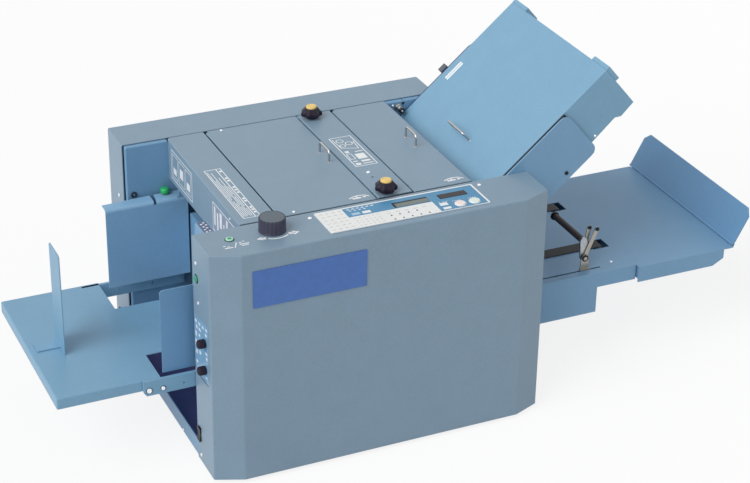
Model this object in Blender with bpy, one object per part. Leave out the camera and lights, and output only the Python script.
"""Suction feed folding machine: sheet steel body between two covers, lifting feed table,
suction head, four fold rollers, two buckle plates and a delivery table with a stop plate.
X runs from the feed side to the delivery side, Y from the front cover to the rear cover."""

import math

import bmesh
import bpy
from mathutils import Matrix, Vector

MM = 0.001

# Gaps and sheet steel
SEAT = 0.3 * MM
SHEET = 2 * MM
FRAME_SHEET = 3 * MM
OVERRUN = 6 * MM
WORKING_GAP = 1 * MM

# Body and its covers, from the feed side and from the front
BODY_HEIGHT = 419 * MM
FRONT_DEPTH = 95 * MM
BAY_WIDTH = 360 * MM
REAR_COVER_DEPTH = 78 * MM
REAR_START = FRONT_DEPTH + BAY_WIDTH
BODY_DEPTH = REAR_START + REAR_COVER_DEPTH
HEAD_LEFT = 82 * MM
HEAD_WIDTH = 68 * MM
LEFT_LID_WIDTH = 177 * MM
STRIP_WIDTH = 63 * MM
RIGHT_LID_WIDTH = 108 * MM
OUTLET_LENGTH = 102 * MM
HEAD_RIGHT = HEAD_LEFT + HEAD_WIDTH
LEFT_LID_RIGHT = HEAD_RIGHT + LEFT_LID_WIDTH
STRIP_RIGHT = LEFT_LID_RIGHT + STRIP_WIDTH
RIGHT_LID_RIGHT = STRIP_RIGHT + RIGHT_LID_WIDTH
BODY_LENGTH = RIGHT_LID_RIGHT + OUTLET_LENGTH
END_SETBACK = 19.5 * MM
END_CUT = 48 * MM
FRAME_INSET = 4 * MM
REAR_FRAME_STEP = 9 * MM
REAR_FRAME_Y = REAR_START - REAR_FRAME_STEP
FRONT_FRAME_Y = FRONT_DEPTH
FRAME_TOP = BODY_HEIGHT - SHEET - SEAT
SHELF_LEFT = 20 * MM
SHELF_RIGHT = 40 * MM
SHELF_REACH = 42 * MM
SHELF_DROP = 45 * MM

# Base pan and feet
PAN_WALL = 33 * MM
PAN_FLOOR = 2 * MM
PAN_FRONT = 25 * MM
FOOT_R = 14 * MM
FOOT_HEIGHT = 9.7 * MM
FOOT_INSET_X = 45 * MM
FOOT_FRONT_Y = 60 * MM
FOOT_REAR_INSET = 53 * MM
FOOT_REAR_Y = BODY_DEPTH - FOOT_REAR_INSET
PAN_TOP = PAN_FLOOR + SHEET
GROUND = PAN_FLOOR - SEAT - FOOT_HEIGHT

# Inside width between the two side frames
INNER_FRONT = FRONT_FRAME_Y + SEAT
INNER_REAR = REAR_FRAME_Y - SEAT
INNER_MIDDLE = (INNER_FRONT + INNER_REAR) / 2

# Top covers
HEAD_FACE = 75 * MM
LID_FLANGE = 17 * MM
LID_GAP = 1 * MM
HINGE_R = 2.6 * MM
TOP_FRONT = FRONT_DEPTH + SEAT
TOP_REAR = REAR_START - SEAT

# Handles
HANDLE_WIRE_R = 2 * MM
LID_HANDLE_SPAN = 41 * MM
PLATE_HANDLE_SPAN = 60 * MM
HANDLE_RISE = 20.5 * MM
HANDLE_BEND_R = 6 * MM
LEFT_HANDLE_INSET = 22 * MM
LEFT_HANDLE_X = LEFT_LID_RIGHT - LEFT_HANDLE_INSET
LID_HANDLE_ASIDE = 6 * MM
LID_HANDLE_Y = INNER_MIDDLE + LID_HANDLE_ASIDE
RIGHT_HANDLE_INSET = 30 * MM
RIGHT_HANDLE_X = RIGHT_LID_RIGHT - RIGHT_HANDLE_INSET
PLATE_HANDLE_DOWN = 241.5 * MM
PLATE_HANDLE_ASIDE = -2.5 * MM
PLATE_HANDLE_Y = INNER_MIDDLE + PLATE_HANDLE_ASIDE

# Knobs and buttons
STAR_INSET = 20.5 * MM
STAR_X = LEFT_LID_RIGHT + STAR_INSET
STAR_R = 19.5 * MM
STAR_HEIGHT = 15 * MM
STAR_CAP_R = 9.5 * MM
STAR_CAP_HEIGHT = 3.5 * MM
STAR_LOBES = 7
STAR_WAVE = 1.6 * MM
STAR_NECK_R = 9 * MM
STAR_NECK = 4.5 * MM
STAR_FRONT_INSET = 22 * MM
STAR_FRONT_Y = FRONT_DEPTH + STAR_FRONT_INSET
STAR_REAR_INSET = 18.5 * MM
STAR_REAR_Y = REAR_START - STAR_REAR_INSET
STUD_R = 3 * MM
STUD_LENGTH = 14 * MM
DIAL_X = 124 * MM
DIAL_INSET = 33 * MM
DIAL_Y = FRONT_DEPTH - DIAL_INSET
DIAL_R = 22 * MM
DIAL_SKIRT_R = 22.6 * MM
DIAL_HEIGHT = 24 * MM
DIAL_SKIRT = 2 * MM
DIAL_FLUTES = 20
DIAL_FLUTE = 0.8 * MM
RESET_X = 50 * MM
RESET_INSET = 37 * MM
RESET_Y = FRONT_DEPTH - RESET_INSET
RESET_R = 6.5 * MM
BUTTON_RISE = 2.5 * MM
BUTTON_TRAVEL = 2 * MM
BUTTON_DEPTH = 8 * MM
TABLE_BUTTON_INSET = 17 * MM
TABLE_BUTTON_Y = FRONT_DEPTH - TABLE_BUTTON_INSET
TABLE_BUTTON_DOWN = 70 * MM
TABLE_BUTTON_Z = BODY_HEIGHT - TABLE_BUTTON_DOWN
TABLE_BUTTON_R = 6.5 * MM
AIR_KNOB_R = 7.7 * MM
AIR_KNOB_LENGTH = 13.7 * MM
AIR_UPPER_INSET = 51 * MM
AIR_UPPER_DOWN = 170.5 * MM
AIR_KNOB_UPPER_YZ = (FRONT_DEPTH - AIR_UPPER_INSET, BODY_HEIGHT - AIR_UPPER_DOWN)
AIR_LOWER_INSET = 50 * MM
AIR_LOWER_DOWN = 221 * MM
AIR_KNOB_LOWER_YZ = (FRONT_DEPTH - AIR_LOWER_INSET, BODY_HEIGHT - AIR_LOWER_DOWN)
SWITCH_INSET = 10.5 * MM
SWITCH_Y = FRONT_DEPTH - SWITCH_INSET
SWITCH_Z = 52 * MM
SWITCH_WIDTH = 14 * MM
SWITCH_HEIGHT = 27 * MM
SWITCH_THICKNESS = 8 * MM
SWITCH_RISE = 3 * MM
SWITCH_GAP = 1.2 * MM

# Control panel and badge
PANEL_LEFT = 205 * MM
PANEL_RIGHT_INSET = 111 * MM
PANEL_RIGHT = BODY_LENGTH - PANEL_RIGHT_INSET
PANEL_FRONT = 13 * MM
PANEL_REAR_INSET = 9 * MM
PANEL_REAR = FRONT_DEPTH - PANEL_REAR_INSET
PANEL_SHEET = 1.5 * MM
START_INSET = 48.5 * MM
START_X = PANEL_RIGHT - START_INSET
STOP_INSET = 22.5 * MM
STOP_X = PANEL_RIGHT - STOP_INSET
KEY_INSET = 14 * MM
KEY_Y = PANEL_FRONT + KEY_INSET
KEY_R = 10 * MM
BADGE_LEFT = 66 * MM
BADGE_RIGHT = 262 * MM
BADGE_DOWN = 32 * MM
BADGE_HEIGHT = 66 * MM
BADGE_HIGH = BODY_HEIGHT - BADGE_DOWN
BADGE_LOW = BADGE_HIGH - BADGE_HEIGHT
BADGE_SHEET = 1.2 * MM

# Power inlet on the rear cover
INLET_INSET = 39 * MM
INLET_Y = BODY_DEPTH - INLET_INSET
INLET_Z = 52 * MM
INLET_WIDTH = 30 * MM
INLET_HEIGHT = 24 * MM
INLET_DEPTH = 22 * MM
INLET_FLANGE = 4 * MM
INLET_WALL = 3 * MM

# Feed table
TABLE_TOP = 165 * MM
TABLE_LEFT = -233 * MM
TABLE_SHOULDER = -58 * MM
TABLE_FRONT_INSET = 9 * MM
TABLE_FRONT = FRONT_DEPTH + TABLE_FRONT_INSET
TABLE_REAR_INSET = 8 * MM
TABLE_REAR = REAR_START - TABLE_REAR_INSET
TABLE_SKIRT = 20 * MM
TONGUE_FRONT_INSET = 76 * MM
TONGUE_FRONT = TABLE_FRONT + TONGUE_FRONT_INSET
TONGUE_REAR_INSET = 101 * MM
TONGUE_REAR = TABLE_REAR - TONGUE_REAR_INSET
TONGUE_END = 104 * MM
ARM_LEFT = -89 * MM
ARM_END = 100 * MM
ARM_HEIGHT = 28 * MM
ARM_WIDTH = 6 * MM
ARM_LAP = 3 * MM
SHOE_LENGTH = 40 * MM

# End stop on the feed table
STOP_X_FACE = -180 * MM
STOP_INSET_Y = 50 * MM
STOP_FRONT = TONGUE_FRONT + STOP_INSET_Y
STOP_WIDTH = 56 * MM
STOP_REAR = STOP_FRONT + STOP_WIDTH
STOP_HEIGHT = 186 * MM
STOP_FOOT = 41 * MM
STOP_FOOT_WIDTH = 30 * MM

# Side guides and their shaft
FRONT_GUIDE_LEFT = -52 * MM
REAR_GUIDE_LEFT = -46 * MM
GUIDE_RISE = 3 * MM
GUIDE_LOW = TABLE_TOP + GUIDE_RISE
GUIDE_DOWN = 98 * MM
GUIDE_HIGH = BODY_HEIGHT - GUIDE_DOWN
GUIDE_CORNER_R = 6 * MM
FRONT_GUIDE_INSET = 15 * MM
FRONT_GUIDE_Y = FRONT_DEPTH + FRONT_GUIDE_INSET
REAR_GUIDE_INSET = 41 * MM
REAR_GUIDE_Y = REAR_START - REAR_GUIDE_INSET
GUIDE_LIP = 29 * MM
GUIDE_NOTCH_LEFT = 42 * MM
GUIDE_NOTCH_RIGHT = 48 * MM
GUIDE_SHAFT_X = 96 * MM
GUIDE_SHAFT_DOWN = 83 * MM
GUIDE_SHAFT_Z = BODY_HEIGHT - GUIDE_SHAFT_DOWN
GUIDE_SHAFT_R = 5 * MM
GUIDE_EAR_R = 8 * MM
LOCK_BUTTON_X = 69.5 * MM
LOCK_BUTTON_INSET = 22 * MM
LOCK_BUTTON_R = 8.5 * MM
LOCK_BUTTON_CAP = 9 * MM
LOCK_STEM_R = 2.3 * MM
LOCK_STEM_LENGTH = 14 * MM
LOCK_TRAVEL = 3 * MM

# Suction head
SUCTION_X = 120 * MM
SUCTION_ROLLER_X = 204 * MM
SUCTION_DOWN = 109 * MM
SUCTION_Z = BODY_HEIGHT - SUCTION_DOWN
SUCTION_R = 12 * MM
SUCTION_BELT = 1.5 * MM
SUCTION_BELT_INSET = 20 * MM
SUCTION_BELT_FRONT = TONGUE_FRONT + SUCTION_BELT_INSET
SUCTION_BELT_WIDTH = 140 * MM
SUCTION_BELT_REAR = SUCTION_BELT_FRONT + SUCTION_BELT_WIDTH
CHAMBER_RIGHT = 189 * MM
SHAFT_R = 4 * MM

# Sheet guide: the paper bay's front wall, bent over at its top towards the fold rollers
WALL_X = 107 * MM
WALL_MARGIN = 32 * MM
WALL_FOOT = 22 * MM
GUIDE_DROP = 10 * MM
GUIDE_LIFT = 10 * MM
GUIDE_RAMP = 14 * MM
GUIDE_END_GAP = 9 * MM

# Blower under the suction head
BLOWER_X = 205 * MM
BLOWER_Z = 66 * MM
BLOWER_R = 54 * MM
BLOWER_INSET = 6 * MM
BLOWER_REAR = REAR_FRAME_Y - BLOWER_INSET
BLOWER_WIDTH = 110 * MM
BLOWER_FRONT = BLOWER_REAR - BLOWER_WIDTH
DUCT_LEFT = 150 * MM
DUCT_RIGHT = 182 * MM
DUCT_DEPTH = 18 * MM
DUCT_FRONT = BLOWER_REAR - DUCT_DEPTH

# Fold rollers
ROLLER_R = 17 * MM
ROLLER_GAP = 0.6 * MM
ROLLER_CLEAR = 1.5 * MM
FIRST_ROLLER_INSET = 12 * MM
FIRST_ROLLER_X = STRIP_RIGHT + FIRST_ROLLER_INSET
FIRST_ROLLER_DOWN = 101 * MM
FIRST_ROLLER_Z = BODY_HEIGHT - FIRST_ROLLER_DOWN
ROLLER_STEPS_DEG = (-64, -8, -80)
GEAR_TEETH = 17
TOOTH_ADDENDUM = 1.5 * MM
TOOTH_DEDENDUM = 2.3 * MM
GEAR_STEP = 4 * MM
GEAR_FRONT = REAR_START + GEAR_STEP
GEAR_WIDTH = 10 * MM
TOOTH_ROOT_SHARE = 0.54
TOOTH_TIP_SHARE = 0.26

# Lower buckle plate
LOWER_MOUTH_INSET = 28 * MM
LOWER_MOUTH_X = FIRST_ROLLER_X + LOWER_MOUTH_INSET
LOWER_MOUTH_DOWN = 58 * MM
LOWER_MOUTH_Z = FIRST_ROLLER_Z - LOWER_MOUTH_DOWN
LOWER_END_Z = 69.2 * MM
LOWER_THICKNESS = 12 * MM
LOWER_SLOPE_DEG = 58
LOWER_SLOPE = math.radians(LOWER_SLOPE_DEG)
LOWER_LENGTH = (LOWER_MOUTH_Z - LOWER_END_Z) / math.sin(LOWER_SLOPE)
LOWER_RIM = 8 * MM

# Drive motor
MOTOR_INSET = 95 * MM
MOTOR_X = BODY_LENGTH - MOTOR_INSET
MOTOR_Z = 62 * MM
MOTOR_R = 38 * MM
MOTOR_FRONT = 190 * MM
MOTOR_REAR = 330 * MM
MOTOR_FOOT = 60 * MM
MOTOR_BOSS_R = 14 * MM
MOTOR_BOSS = 12 * MM

# Upper buckle plate, measured from its top edge down the slope
PLATE_SLOPE_DEG = 40.5
PLATE_SLOPE = math.radians(PLATE_SLOPE_DEG)
PLATE_LENGTH = 390 * MM
PLATE_MOUTH_INSET = 47.44 * MM
PLATE_TOP_X = FIRST_ROLLER_X + PLATE_MOUTH_INSET + PLATE_LENGTH * math.cos(PLATE_SLOPE)
PLATE_MOUTH_RISE = 6.72 * MM
PLATE_TOP_Z = FIRST_ROLLER_Z + PLATE_MOUTH_RISE + PLATE_LENGTH * math.sin(PLATE_SLOPE)
PLATE_DEPTH = 91 * MM
PLATE_SIDE_GAP = 4.7 * MM
PLATE_SLOT = 9 * MM
PLATE_NOTCH = 5 * MM
PLATE_FIRST_STEP = 32 * MM
PLATE_SECOND_STEP = 42 * MM
PLATE_DEEP_END = 150 * MM
PLATE_SHALLOW = 245 * MM
TAB_WIDTH = 50 * MM
TAB_DEPTH = 32 * MM
TAB_LENGTH = 8 * MM
STOPPER_DOWN = 170 * MM
STOPPER_LENGTH = 12 * MM
STOPPER_MARGIN = 12 * MM

# Brackets that carry the upper buckle plate
BRACKET_SHEET = 2.7 * MM
BRACKET_SHORT = 75 * MM
BRACKET_EDGE_X = PLATE_TOP_X - BRACKET_SHORT
BRACKET_FALL = 66 * MM
BRACKET_EDGE_Z = PLATE_TOP_Z - BRACKET_FALL
BRACKET_WIDTH = 101 * MM
BRACKET_R = 14 * MM
BRACKET_HOLD = 80 * MM
BRACKET_LEFT = BODY_LENGTH - BRACKET_HOLD
BRACKET_DOWN = 119 * MM
BRACKET_LOW = BODY_HEIGHT - BRACKET_DOWN
BRACKET_INSET = 12 * MM
BRACKET_FOOT = BODY_LENGTH - BRACKET_INSET
SKEW_SHORT = 127.5 * MM
SKEW_X = PLATE_TOP_X - SKEW_SHORT
SKEW_FALL = 118 * MM
SKEW_Z = PLATE_TOP_Z - SKEW_FALL
SKEW_SIZE = 16 * MM
SKEW_LENGTH = 13 * MM

# Delivery table
DECK_DOWN = 229 * MM
DECK_TOP = BODY_HEIGHT - DECK_DOWN
DECK_LAP = 2 * MM
DECK_LEFT = BODY_LENGTH - DECK_LAP
DECK_LENGTH = 236 * MM
DECK_RIGHT = DECK_LEFT + DECK_LENGTH
RAIL_HEIGHT = 30 * MM
WEB_SHORT = 78 * MM
WEB_RIGHT = DECK_RIGHT - WEB_SHORT
WEB_HEIGHT = 80 * MM
WEB_LOW = DECK_TOP - WEB_HEIGHT
WEB_LEFT = BRACKET_LEFT
CHUTE_REACH = 82 * MM
CHUTE_HIGH_X = FIRST_ROLLER_X + CHUTE_REACH
CHUTE_RISE = 44 * MM
CHUTE_HIGH_Z = DECK_TOP + CHUTE_RISE
CHUTE_LAP = 30 * MM
CHUTE_LOW_X = DECK_LEFT - CHUTE_LAP
CHUTE_BACK = 30 * MM
RAIL_LIP = 12 * MM
DRUM_INSET = 15 * MM
DRUM_X = BODY_LENGTH - DRUM_INSET
DRUM_R = 8.7 * MM
BELT_SHEET = 1.5 * MM
BELT_SHORT = 28 * MM
BELT_RIGHT_X = DECK_RIGHT - BELT_SHORT
BELT_WIDTH = 26 * MM
FRONT_BELT_INSET = 95 * MM
FRONT_BELT_Y = FRONT_DEPTH + FRONT_BELT_INSET
REAR_BELT_INSET = 105 * MM
REAR_BELT_Y = REAR_START - REAR_BELT_INSET
NOSE_BAR_R = 8 * MM
BELT_SLOT_BEFORE = 14 * MM
BELT_SLOT_LEFT = BELT_RIGHT_X - BELT_SLOT_BEFORE
BELT_SLOT_AFTER = 18 * MM
BELT_SLOT_RIGHT = BELT_RIGHT_X + BELT_SLOT_AFTER
BELT_SIDE_GAP = 3 * MM
SLOT_SHORT = 65 * MM
SLOT_RIGHT = DECK_RIGHT - SLOT_SHORT
SLOT_LENGTH = 118 * MM
SLOT_LEFT = SLOT_RIGHT - SLOT_LENGTH
SLOT_INSET = 18 * MM
SLOT_Y = FRONT_DEPTH + SLOT_INSET
SLOT_WIDTH = 4 * MM

# Delivery extension and stop plate
EXT_GAP = 2 * MM
EXT_LEFT = DECK_RIGHT + EXT_GAP
EXT_LENGTH = 180 * MM
EXT_RIGHT = EXT_LEFT + EXT_LENGTH
EXT_DROP = 3 * MM
EXT_TOP = DECK_TOP - EXT_DROP
EXT_OUTSET = 6 * MM
EXT_FRONT = FRONT_DEPTH - EXT_OUTSET
EXT_REAR_INSET = 1 * MM
EXT_REAR = REAR_START - EXT_REAR_INSET
EXT_WALL = 31 * MM
EXT_CHAMFER_X = 22 * MM
EXT_CHAMFER_Z = 12 * MM
EXT_LIP = 18 * MM
EXT_TONGUE = 136 * MM
EXT_TONGUE_MARGIN = 4 * MM
STOP_PLATE_LENGTH = 72 * MM
STOP_PLATE_TILT_DEG = 28
STOP_PLATE_CHAMFER = 13 * MM
STOP_PLATE_MARGIN = 3 * MM
STOP_BARREL_R = 2.5 * MM
STOP_BARREL_RISE = 2 * MM

# Press roller and its carriage in the deck slot
CARRIAGE_SHORT = 31 * MM
CARRIAGE_X = SLOT_RIGHT - CARRIAGE_SHORT
CARRIAGE_WIDTH = 19 * MM
CARRIAGE_FOOT = 2 * MM
CARRIAGE_PLATE = 2 * MM
PIVOT_RISE = 23 * MM
PIVOT_Z = DECK_TOP + PIVOT_RISE
PIVOT_R = 3.5 * MM
ARM_PLATE_R = 7 * MM
PRESS_BACK = 2 * MM
PRESS_X = CARRIAGE_X - PRESS_BACK
PRESS_RISE = 32 * MM
PRESS_Z = PIVOT_Z + PRESS_RISE
PRESS_R = 6 * MM
PRESS_AXLE_R = 2 * MM
PRESS_LENGTH = 97 * MM
PRONG_REACH = 22 * MM
PRONG_TOP_X = CARRIAGE_X + PRONG_REACH
PRONG_RISE = 53 * MM
PRONG_TOP_Z = PIVOT_Z + PRONG_RISE
PRONG_R = 5 * MM
PRONG_GAP = 7 * MM
COLLAR_R = 8 * MM
COLLAR_LENGTH = 5 * MM

# Sides of round pieces
ROUND_SIDES = 24
SMALL_SIDES = 14
CORNER_STEPS = 4
GRID = MM / 1000

for old in list(bpy.data.objects):
    bpy.data.objects.remove(old, do_unlink=True)

PARTS = bpy.data.collections.new("suction_feed_folding_machine")
CUTTERS = bpy.data.collections.new("cutters")
for collection in (PARTS, CUTTERS):
    bpy.context.scene.collection.children.link(collection)


def material(name, colour, roughness, metallic=0.0):
    """A plain Principled finish, with its colour given in linear light."""
    finish = bpy.data.materials.new(name)
    finish.use_nodes = True
    shader = finish.node_tree.nodes["Principled BSDF"]
    shader.inputs["Base Color"].default_value = (*colour, 1.0)
    shader.inputs["Roughness"].default_value = roughness
    shader.inputs["Metallic"].default_value = metallic
    finish.diffuse_color = (*colour, 1.0)
    return finish


GREY_BLUE = material("grey_blue_paint", (0.19, 0.27, 0.34), 0.5)
MID_BLUE = material("mid_blue_paint", (0.13, 0.26, 0.41), 0.5)
PALE_BLUE = material("pale_blue_paint", (0.24, 0.42, 0.57), 0.5)
PANEL_BLUE = material("panel_blue_film", (0.07, 0.28, 0.52), 0.4)
BADGE_BLUE = material("badge_blue_film", (0.07, 0.18, 0.53), 0.4)
BARE_STEEL = material("bare_steel", (0.55, 0.55, 0.55), 0.35, 1.0)
CHROME = material("chrome", (0.75, 0.75, 0.76), 0.15, 1.0)
DARK_PLASTIC = material("dark_plastic", (0.03, 0.025, 0.03), 0.5)
GREY_PLASTIC = material("grey_plastic", (0.09, 0.12, 0.15), 0.5)
GREEN_PLASTIC = material("green_plastic", (0.03, 0.38, 0.19), 0.35)
PALE_PLASTIC = material("pale_plastic", (0.75, 0.72, 0.68), 0.4)
ROLLER_RUBBER = material("roller_rubber", (0.035, 0.035, 0.04), 0.7)
BELT_RUBBER = material("belt_rubber", (0.16, 0.19, 0.18), 0.8)
FOOT_RUBBER = material("foot_rubber", (0.02, 0.02, 0.02), 0.8)


def empty(name, place, turn=(0.0, 0.0, 0.0), parent=None):
    """An axis or frame that other pieces are placed in."""
    axis = bpy.data.objects.new(name, None)
    axis.location = place
    axis.rotation_euler = turn
    axis.parent = parent
    PARTS.objects.link(axis)
    return axis


def stop_plate_reach():
    """How far the stop plate's tip stands past its hinge, along X."""
    tilt = math.radians(STOP_PLATE_TILT_DEG)
    return STOP_PLATE_LENGTH * math.sin(tilt) + SHEET / 2 * math.cos(tilt)


STOP_HINGE_X = EXT_RIGHT + EXT_LIP + SEAT + STOP_BARREL_R
STOP_HINGE_Z = EXT_TOP + STOP_BARREL_RISE
RIGHTMOST = STOP_HINGE_X + stop_plate_reach()
CENTRE_X = (TABLE_LEFT + RIGHTMOST) / 2
FRONTMOST = -SEAT - BADGE_SHEET
CENTRE_Y = (FRONTMOST + BODY_DEPTH) / 2

MACHINE = empty("machine_frame", (-CENTRE_X, -CENTRE_Y, -GROUND))


def add_object(name, mesh, finish, parent):
    """A named piece, or a hidden cutter where it has no finish. Its points lie on a fine
    grid, so that faces of two pieces meant for one plane are in it exactly."""
    for point in mesh.vertices:
        point.co = [round(value / GRID) * GRID for value in point.co]
    piece = bpy.data.objects.new(name, mesh)
    piece.parent = parent or MACHINE
    if finish:
        mesh.materials.append(finish)
        PARTS.objects.link(piece)
    else:
        CUTTERS.objects.link(piece)
        piece.hide_render = True
        piece.display_type = "WIRE"
    return piece


def box(name, low, high, finish=None, parent=None):
    """A block between two corners."""
    low = Vector(low)
    high = Vector(high)
    shape = bmesh.new()
    bmesh.ops.create_cube(shape, size=1)
    bmesh.ops.scale(shape, vec=high - low, verts=shape.verts)
    bmesh.ops.translate(shape, vec=(low + high) / 2, verts=shape.verts)
    mesh = bpy.data.meshes.new(name)
    shape.to_mesh(mesh)
    shape.free()
    return add_object(name, mesh, finish, parent)


def rod(name, radius, start, end, finish=None, parent=None, sides=ROUND_SIDES):
    """A round bar from one point to another."""
    start = Vector(start)
    end = Vector(end)
    along = end - start
    shape = bmesh.new()
    bmesh.ops.create_cone(shape, cap_ends=True, segments=sides, radius1=radius,
                          radius2=radius, depth=along.length)
    turn = along.to_track_quat("Z", "Y").to_matrix().to_4x4()
    bmesh.ops.transform(shape, matrix=Matrix.Translation((start + end) / 2) @ turn, verts=shape.verts)
    mesh = bpy.data.meshes.new(name)
    shape.to_mesh(mesh)
    shape.free()
    mesh.shade_smooth()
    mesh.set_sharp_from_angle(angle=math.radians(35))
    return add_object(name, mesh, finish, parent)


def mesh_of_curve(guide, name, turn):
    """The curve's closed mesh, turned into place, with its caps welded and made whole."""
    PARTS.objects.link(guide)
    bpy.context.view_layer.update()
    graph = bpy.context.evaluated_depsgraph_get()
    mesh = bpy.data.meshes.new_from_object(guide.evaluated_get(graph))
    mesh.name = name
    shape = bmesh.new()
    shape.from_mesh(mesh)
    bmesh.ops.remove_doubles(shape, verts=shape.verts, dist=GRID)
    bmesh.ops.dissolve_limit(shape, angle_limit=math.radians(0.1), verts=shape.verts, edges=shape.edges)
    bmesh.ops.transform(shape, matrix=turn, verts=shape.verts)
    bmesh.ops.recalc_face_normals(shape, faces=shape.faces)
    shape.to_mesh(mesh)
    shape.free()
    bpy.data.objects.remove(guide, do_unlink=True)
    return mesh


PLANE_TURNS = {
    "X": Matrix(((0, 0, 1, 0), (1, 0, 0, 0), (0, 1, 0, 0), (0, 0, 0, 1))),
    "Y": Matrix(((1, 0, 0, 0), (0, 0, -1, 0), (0, 1, 0, 0), (0, 0, 0, 1))),
    "Z": Matrix.Identity(4),
}


def prism(name, outline, axis, low, high, finish=None, parent=None, holes=()):
    """A flat outline, with holes, as thick as from low to high along an axis."""
    flat = bpy.data.curves.new(name, "CURVE")
    flat.dimensions = "2D"
    flat.fill_mode = "BOTH"
    flat.extrude = (high - low) / 2
    for points in (outline, *holes):
        spline = flat.splines.new("POLY")
        spline.points.add(len(points) - 1)
        for slot, (across, up) in zip(spline.points, points):
            slot.co = (across, up, 0, 1)
        spline.use_cyclic_u = True
    guide = bpy.data.objects.new(name, flat)
    middle = Vector(((low + high) / 2 if letter == axis else 0 for letter in "XYZ"))
    mesh = mesh_of_curve(guide, name, Matrix.Translation(middle) @ PLANE_TURNS[axis])
    return add_object(name, mesh, finish, parent)


def wire(name, points, radius, finish, parent=None):
    """A bent round wire through the points."""
    path = bpy.data.curves.new(name, "CURVE")
    path.dimensions = "3D"
    path.bevel_depth = radius
    path.bevel_resolution = 2
    path.use_fill_caps = True
    spline = path.splines.new("POLY")
    spline.points.add(len(points) - 1)
    for slot, point in zip(spline.points, points):
        slot.co = (*point, 1)
    guide = bpy.data.objects.new(name, path)
    mesh = mesh_of_curve(guide, name, Matrix.Identity(4))
    mesh.shade_smooth()
    mesh.set_sharp_from_angle(angle=math.radians(50))
    return add_object(name, mesh, finish, parent)


def boolean(piece, tool, operation):
    step = piece.modifiers.new(operation.lower(), "BOOLEAN")
    step.operation = operation
    step.solver = "EXACT"
    step.object = tool
    return piece


def join(piece, *tools):
    for tool in tools:
        boolean(piece, tool, "UNION")
    return piece


def cut(piece, *tools):
    for tool in tools:
        boolean(piece, tool, "DIFFERENCE")
    return piece


def pivot(piece, place):
    """Moves a piece's origin and its tools' to the joint axis, and leaves the shape where it is."""
    tools = [step.object for step in piece.modifiers if step.type == "BOOLEAN"]
    for item in (piece, *tools):
        item.data.transform(Matrix.Translation(-Vector(place)))
        item.location = place
    return piece


def arc(centre, radius, start_deg, end_deg, steps):
    """Points along a round stretch, both ends counted."""
    points = []
    for step in range(steps + 1):
        angle = math.radians(start_deg + (end_deg - start_deg) * step / steps)
        points.append((centre[0] + radius * math.cos(angle), centre[1] + radius * math.sin(angle)))
    return points


def circle(centre, radius, sides=SMALL_SIDES):
    return arc(centre, radius, 0, 360, sides)[:-1]


def rectangle(low, high):
    return [low, (high[0], low[1]), high, (low[0], high[1])]


def rounded(corners, radii):
    """The corners of an outline, each one with a radius drawn as an arc."""
    points = []
    count = len(corners)
    for index, radius in enumerate(radii):
        corner = Vector(corners[index])
        if not radius:
            points.append(tuple(corner))
            continue
        before = (Vector(corners[index - 1]) - corner).normalized()
        after = (Vector(corners[(index + 1) % count]) - corner).normalized()
        half = before.angle(after) / 2
        middle = corner + (before + after).normalized() * radius / math.sin(half)
        reach = radius / math.tan(half)
        first = corner + before * reach - middle
        last = corner + after * reach - middle
        turn = math.atan2(first.x * last.y - first.y * last.x, first.dot(last))
        heading = math.degrees(math.atan2(first.y, first.x))
        points += arc(middle, radius, heading, heading + math.degrees(turn), CORNER_STEPS)
    return points


def belt_loop(left, right, height, radius):
    """The outline of a belt's face round two drums of one radius."""
    steps = ROUND_SIDES // 2
    return arc((left, height), radius, 90, 270, steps) + arc((right, height), radius, -90, 90, steps)


# Body, base and covers

def cover_outline(inset, depth):
    """The front cover seen from above, with its front corners cut back."""
    reach = END_CUT * END_SETBACK + inset * math.hypot(END_CUT, END_SETBACK)
    left = [(inset, (reach - END_SETBACK * inset) / END_CUT), ((reach - END_CUT * inset) / END_SETBACK, inset)]
    right = [(BODY_LENGTH - x, y) for x, y in reversed(left)]
    return [(inset, depth), *left, *right, (BODY_LENGTH - inset, depth)]


def make_base():
    covers_front = FRONT_DEPTH + SEAT
    covers_rear = REAR_START - SEAT
    low = SHEET + SEAT
    high = BODY_LENGTH - low
    pan = box("base_pan", (low, PAN_FRONT, PAN_FLOOR), (high, BODY_DEPTH - low, PAN_TOP), MID_BLUE)
    join(pan, box("pan_middle", (0, covers_front, PAN_FLOOR), (BODY_LENGTH, covers_rear, PAN_TOP)))
    for side, left in (("left", 0), ("right", BODY_LENGTH - SHEET)):
        wall = box(f"pan_wall_{side}", (left, covers_front, PAN_FLOOR),
                   (left + SHEET, covers_rear, PAN_WALL))
        join(pan, wall)
    for side, x in (("left", FOOT_INSET_X), ("right", BODY_LENGTH - FOOT_INSET_X)):
        for end, y in (("front", FOOT_FRONT_Y), ("rear", FOOT_REAR_Y)):
            rod(f"foot_{end}_{side}", FOOT_R, (x, y, GROUND), (x, y, GROUND + FOOT_HEIGHT), FOOT_RUBBER)


def roller_centres():
    """The fold rollers' axes, each one a roller's width from the one before."""
    centres = [Vector((FIRST_ROLLER_X, FIRST_ROLLER_Z))]
    spacing = 2 * ROLLER_R + ROLLER_GAP
    for angle_deg in ROLLER_STEPS_DEG:
        angle = math.radians(angle_deg)
        centres.append(centres[-1] + spacing * Vector((math.cos(angle), math.sin(angle))))
    return centres


def drum_centre():
    return (DRUM_X, DECK_TOP - DRUM_R)


def frame_outline():
    right = BODY_LENGTH - FRAME_INSET
    return rectangle((FRAME_INSET, PAN_TOP + SEAT), (right, FRAME_TOP))


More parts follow.
